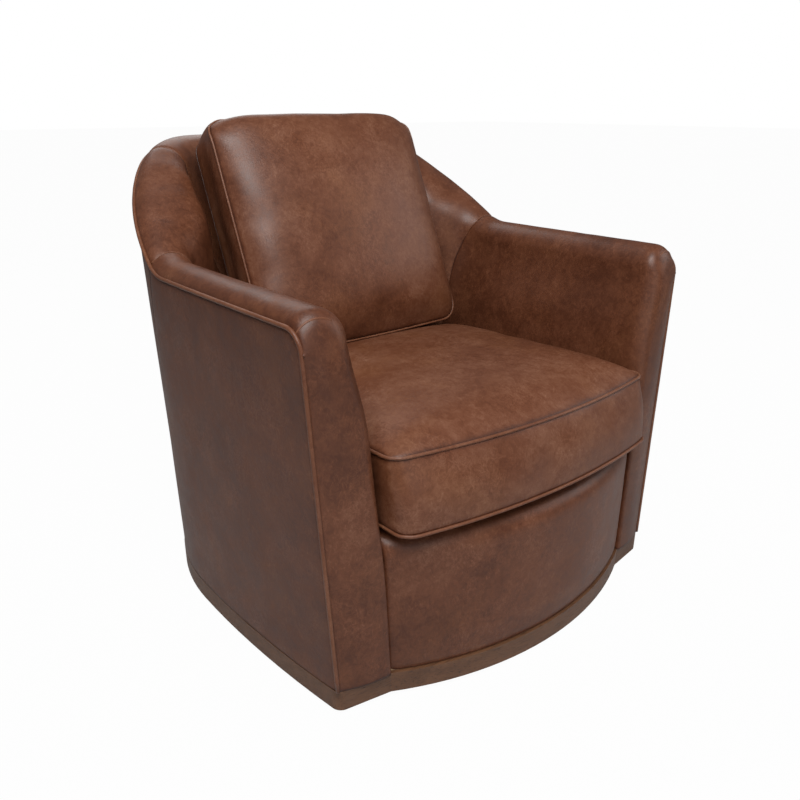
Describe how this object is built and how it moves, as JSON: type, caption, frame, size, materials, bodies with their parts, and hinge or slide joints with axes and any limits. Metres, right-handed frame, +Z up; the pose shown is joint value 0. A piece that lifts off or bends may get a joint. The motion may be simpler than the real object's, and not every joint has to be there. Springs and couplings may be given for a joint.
{
  "type": "swivel barrel armchair",
  "caption": "Leather barrel armchair on a low swivel plinth, with a round back that sweeps down to level arms and loose, piped seat and back cushions.",
  "frame": {"origin": "on the floor, on the axis of the swivel, at the middle of the chair's bounding box in plan", "axes": "+Z up, the front of the chair towards -Y, +X to the right of a person looking at the front"},
  "size_m": [0.8048, 0.9303, 0.8245],
  "materials": {
    "leather": "waxed pull-up leather, satin",
    "welt_leather": "waxed leather cord, satin",
    "walnut": "dark stained, satin lacquer",
    "frame_wood": "unfinished",
    "fibreboard": "unfinished board",
    "padding": "foam and wadding",
    "webbing": "woven strap",
    "bearing_steel": "zinc plated",
    "glide_plastic": "moulded",
    "zip_brass": "aged"
  },
  "bodies": {
    "base": {"floor_glides": "glide_plastic", "floor_disc": "frame_wood", "lower_race": "bearing_steel", "race_screws": "bearing_steel"},
    "bearing": {"bearing_cage": "bearing_steel", "bearing_rollers": "bearing_steel"},
    "seat_cushion": {"seat_core": "padding", "seat_casing": "leather", "seat_welts": "welt_leather", "seat_zip": "zip_brass"},
    "back_cushion": {"back_core": "padding", "back_casing": "leather", "back_welts": "welt_leather", "back_zip": "zip_brass"},
    "chair": {"back_board": "fibreboard", "back_pad": "padding", "back_seat_rail": "frame_wood", "back_top_rail": "frame_wood", "back_webbing": "webbing", "base_deck": "frame_wood", "deck_pad": "padding", "edge_welt": "welt_leather", "front_border_leather": "leather", "front_rail_pad": "padding", "front_seat_rail": "frame_wood", "inside_back_leather": "leather", "insulator_felt": "padding", "left_arm_front_pad": "padding", "left_arm_front_panel": "frame_wood", "left_arm_pad": "padding", "left_arm_rail": "frame_wood", "left_back_post": "frame_wood", "left_front_post": "frame_wood", "left_inside_arm_leather": "leather", "left_outside_arm_leather": "leather", "left_seat_rail": "frame_wood", "left_side_board": "fibreboard", "left_side_post": "frame_wood", "left_wing_leather": "leather", "left_wing_rail": "frame_wood", "outside_back_leather": "leather", "plinth": "walnut", "race_bolts": "bearing_steel", "rail_uprights": "frame_wood", "right_arm_front_pad": "padding", "right_arm_front_panel": "frame_wood", "right_arm_pad": "padding", "right_arm_rail": "frame_wood", "right_back_post": "frame_wood", "right_front_post": "frame_wood", "right_inside_arm_leather": "leather", "right_outside_arm_leather": "leather", "right_seat_rail": "frame_wood", "right_side_board": "fibreboard", "right_side_post": "frame_wood", "right_wing_leather": "leather", "right_wing_rail": "frame_wood", "seat_springs": "bearing_steel", "spring_clips": "bearing_steel", "upper_race": "bearing_steel"}
  },
  "joints": [
    {"name": "swivel", "type": "hinge", "parent": "base", "child": "chair", "pos_m": [0, 0, 0.03], "axis": [0, 0, 1], "continuous": true},
    {"name": "bearing_turn", "type": "hinge", "parent": "base", "child": "bearing", "pos_m": [0, 0, 0.032], "axis": [0, 0, 1], "continuous": true},
    {"name": "seat_cushion_draw", "type": "slide", "parent": "chair", "child": "seat_cushion", "axis": [0, -0.9986, 0.0523], "range_m": [0, 0.45]},
    {"name": "back_cushion_lift", "type": "slide", "parent": "chair", "child": "back_cushion", "axis": [0, 0.4067, 0.9135], "range_m": [0, 0.35]}
  ],
  "couplings": [
    {"joint": "bearing_turn", "follows": "swivel", "ratio": 0.5}
  ]
}
